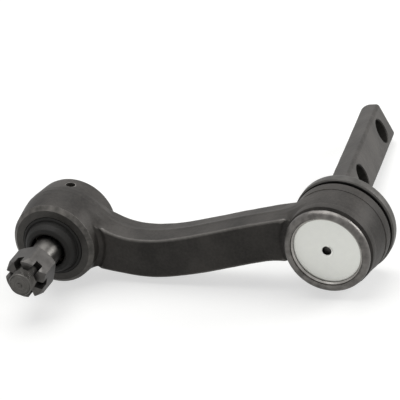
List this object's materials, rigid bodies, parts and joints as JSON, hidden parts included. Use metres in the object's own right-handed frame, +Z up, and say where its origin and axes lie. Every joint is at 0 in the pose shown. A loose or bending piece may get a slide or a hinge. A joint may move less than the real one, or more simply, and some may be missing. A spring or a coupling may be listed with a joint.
{
  "type": "steering idler arm",
  "caption": "S-curved forged arm with a ball stud in an eye at one end and a pivot barrel at the other, turning on a flanged bracket with a flat bolt tang.",
  "frame": {"origin": "middle of the footprint, on the surface that the part lies on", "axes": "+Z up from that surface, +Y close to the pivot axis from the cover plate to the tang, -X from the pivot to the ball stud"},
  "size_m": [0.203, 0.2184, 0.0538],
  "materials": {
    "forged_steel": "as forged, dark scale with worn edges",
    "plated_steel": "dull zinc plating",
    "machined_steel": "turned and oiled",
    "spring_steel": "oil blackened",
    "bronze": "turned bearing bronze",
    "nylon": "moulded",
    "rubber": "moulded black rubber"
  },
  "bodies": {
    "bracket": {"frame_bracket": "forged_steel", "thrust_washer": "spring_steel", "pivot_disc_spring": "spring_steel", "pivot_retaining_nut": "plated_steel"},
    "arm": {"idler_arm": "forged_steel", "pivot_bushing_inner": "bronze", "pivot_bushing_outer": "bronze", "pivot_dust_seal": "rubber", "barrel_cover_plate": "plated_steel", "ball_seat_front": "nylon", "ball_seat_back": "nylon", "seat_spring": "spring_steel", "socket_cover_plate": "plated_steel", "boot_retaining_ring": "spring_steel"},
    "boot": {"dust_boot": "rubber"},
    "stud": {"ball_stud": "machined_steel", "castle_nut": "machined_steel"}
  },
  "joints": [
    {"name": "arm_pivot", "type": "hinge", "parent": "bracket", "child": "arm", "pos_m": [0.07463, -0.05116, 0.02728], "axis": [0.0002, 0.9998, -0.0222], "continuous": true},
    {"name": "stud_swing", "type": "hinge", "parent": "arm", "child": "boot", "pos_m": [-0.07734, -0.0516, 0.02426], "axis": [0.9998, 0.0002, 0.0199], "range_deg": [-15, 15], "deforming": ["dust_boot"]},
    {"name": "stud_spin", "type": "hinge", "parent": "boot", "child": "stud", "pos_m": [-0.07734, -0.0516, 0.02426], "axis": [0.0002, 0.9998, -0.0222], "continuous": true}
  ]
}
